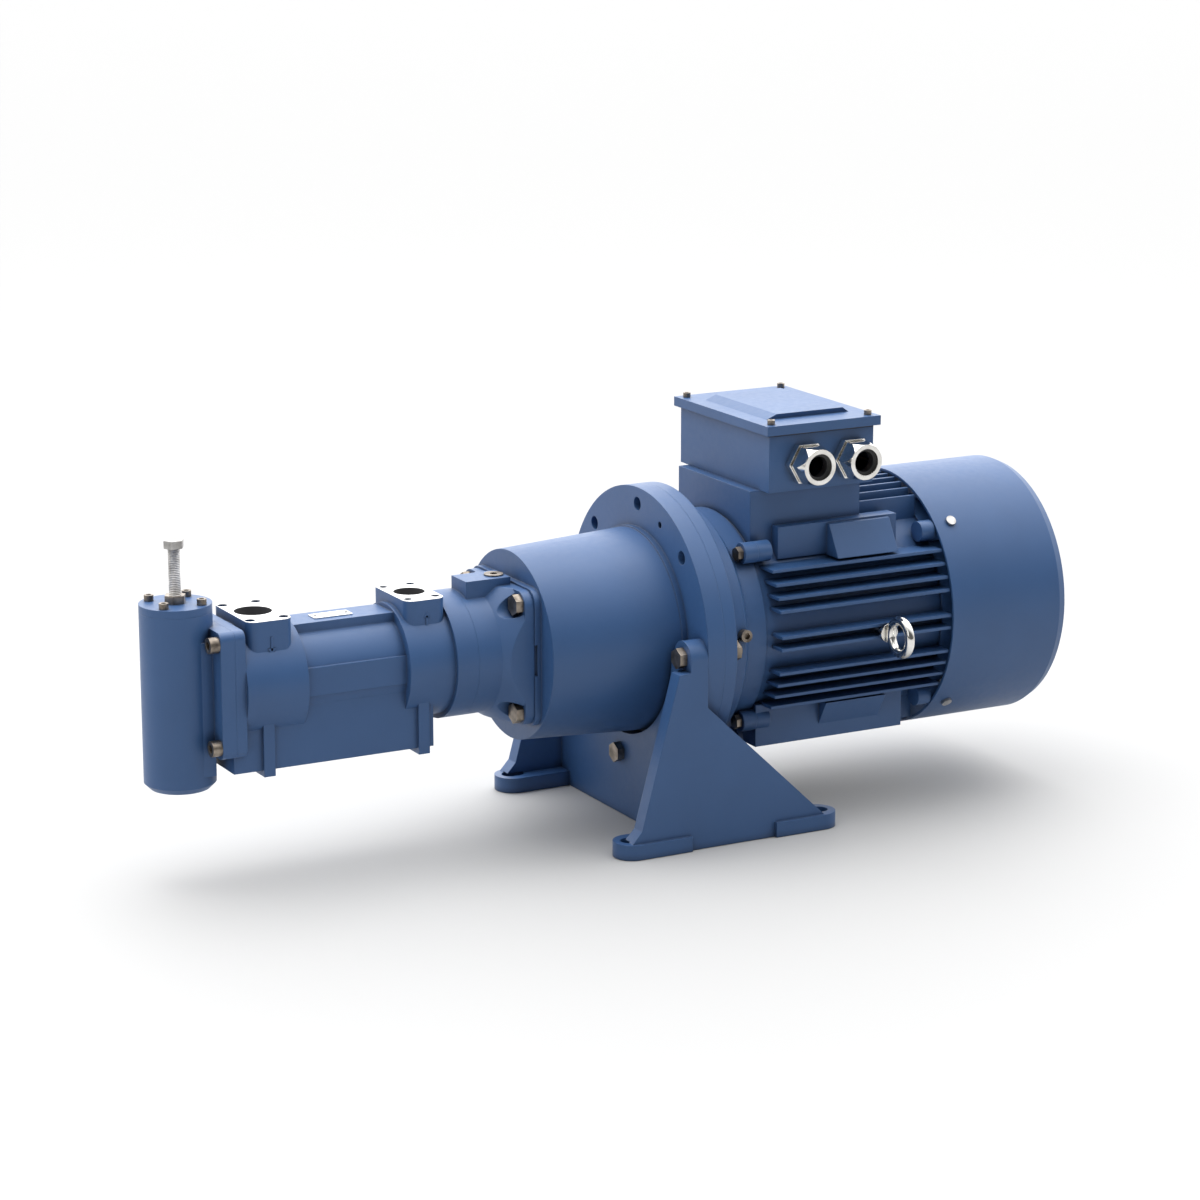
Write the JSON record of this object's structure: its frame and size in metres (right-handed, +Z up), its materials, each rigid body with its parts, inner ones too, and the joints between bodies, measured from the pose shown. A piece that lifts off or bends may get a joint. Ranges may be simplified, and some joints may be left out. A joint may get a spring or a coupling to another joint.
{
  "type": "three-screw pump unit",
  "caption": "Three-screw pump with relief valve, bell housing and slotted foot bracket, driven by a finned flange motor through a jaw coupling.",
  "frame": {"origin": "on the floor plane at the centre of the four slotted foot holes", "axes": "+X along the shaft from pump to motor, +Y to the side away from the cable glands, +Z up"},
  "size_m": [1.0045, 0.344, 0.426],
  "materials": {
    "blue_paint": "satin",
    "bolt_steel": "satin",
    "ground_steel": "satin",
    "nickel_plate": "polished",
    "bronze": "satin",
    "cast_liner": "matte",
    "carbon": "matte",
    "red_elastomer": "matte",
    "lamination": "matte",
    "copper": "satin",
    "black_plastic": "matte",
    "black_rubber": "matte",
    "plate_aluminium": "satin"
  },
  "bodies": {
    "root": {"pump_housing": "blue_paint", "drive_cover": "blue_paint", "valve_housing": "blue_paint", "valve_cap": "blue_paint", "bell_housing": "blue_paint", "foot_bracket": "blue_paint", "drive_end_shield": "blue_paint", "motor_frame": "blue_paint", "rear_end_shield": "blue_paint", "fan_cowl": "blue_paint", "terminal_box": "blue_paint", "terminal_lid": "blue_paint", "pump_flange_bolts": "bolt_steel", "valve_housing_screws": "bolt_steel", "valve_cap_screws": "bolt_steel", "lock_nut": "bolt_steel", "bracket_bolts": "bolt_steel", "bracket_nuts": "bolt_steel", "shield_bolts": "bolt_steel", "earth_screw": "bolt_steel", "lid_screws": "bolt_steel", "vent_plug": "bolt_steel", "cowl_screws": "bolt_steel", "pump_bearing_outer_ring": "ground_steel", "motor_bearing_outer_rings": "ground_steel", "relief_spring": "ground_steel", "nameplate_rivets": "ground_steel", "gland_bodies": "nickel_plate", "gland_nuts": "nickel_plate", "lifting_eyebolt": "nickel_plate", "journal_plate": "bronze", "screw_liner": "cast_liner", "seal_seat": "carbon", "stator_core": "lamination", "stator_windings": "copper", "terminal_board": "black_plastic", "terminal_studs": "bronze", "lid_gasket": "black_rubber", "gland_seals": "black_rubber", "pump_nameplate": "plate_aluminium"},
    "drive_shaft": {"main_screw": "ground_steel", "pump_bearing_inner_ring": "ground_steel", "seal_ring": "carbon", "pump_coupling_hub": "ground_steel", "coupling_spider": "red_elastomer", "motor_coupling_hub": "ground_steel", "motor_shaft": "ground_steel", "rotor": "lamination", "fan": "black_plastic", "motor_bearing_inner_rings": "ground_steel"},
    "near_idler": {"idler_screw_near": "ground_steel"},
    "far_idler": {"idler_screw_far": "ground_steel"},
    "ball_sets": {"pump_bearing_balls": "ground_steel", "motor_bearing_balls": "ground_steel"},
    "valve_piston": {"relief_piston": "ground_steel"},
    "spring_seat": {"spring_plate": "ground_steel"},
    "adjuster": {"adjusting_screw": "bolt_steel"}
  },
  "joints": [
    {"name": "shaft_spin", "type": "hinge", "parent": "root", "child": "drive_shaft", "pos_m": [0, 0, 0.2], "axis": [1, 0, 0], "continuous": true},
    {"name": "near_idler_spin", "type": "hinge", "parent": "root", "child": "near_idler", "pos_m": [0, -0.021, 0.2], "axis": [1, 0, 0], "continuous": true},
    {"name": "far_idler_spin", "type": "hinge", "parent": "root", "child": "far_idler", "pos_m": [0, 0.021, 0.2], "axis": [1, 0, 0], "continuous": true},
    {"name": "ball_orbit", "type": "hinge", "parent": "root", "child": "ball_sets", "pos_m": [0, 0, 0.2], "axis": [1, 0, 0], "continuous": true},
    {"name": "relief_lift", "type": "slide", "parent": "root", "child": "valve_piston", "axis": [0, 0, 1], "range_m": [0, 0.012], "stiffness_N_per_m": 12000, "deforming": ["relief_spring"]},
    {"name": "spring_seat_slide", "type": "slide", "parent": "root", "child": "spring_seat", "axis": [0, 0, -1], "range_m": [0, 0.006]},
    {"name": "adjusting_screw_turn", "type": "hinge", "parent": "spring_seat", "child": "adjuster", "pos_m": [-0.546, 0, 0.3], "axis": [0, 0, -1], "range_deg": [0, 1235]}
  ],
  "couplings": [
    {"joint": "near_idler_spin", "follows": "shaft_spin", "ratio": -1},
    {"joint": "far_idler_spin", "follows": "shaft_spin", "ratio": -1},
    {"joint": "ball_orbit", "follows": "shaft_spin", "ratio": 0.4},
    {"joint": "adjusting_screw_turn", "follows": "spring_seat_slide", "rad_per_m": 3590.4}
  ]
}
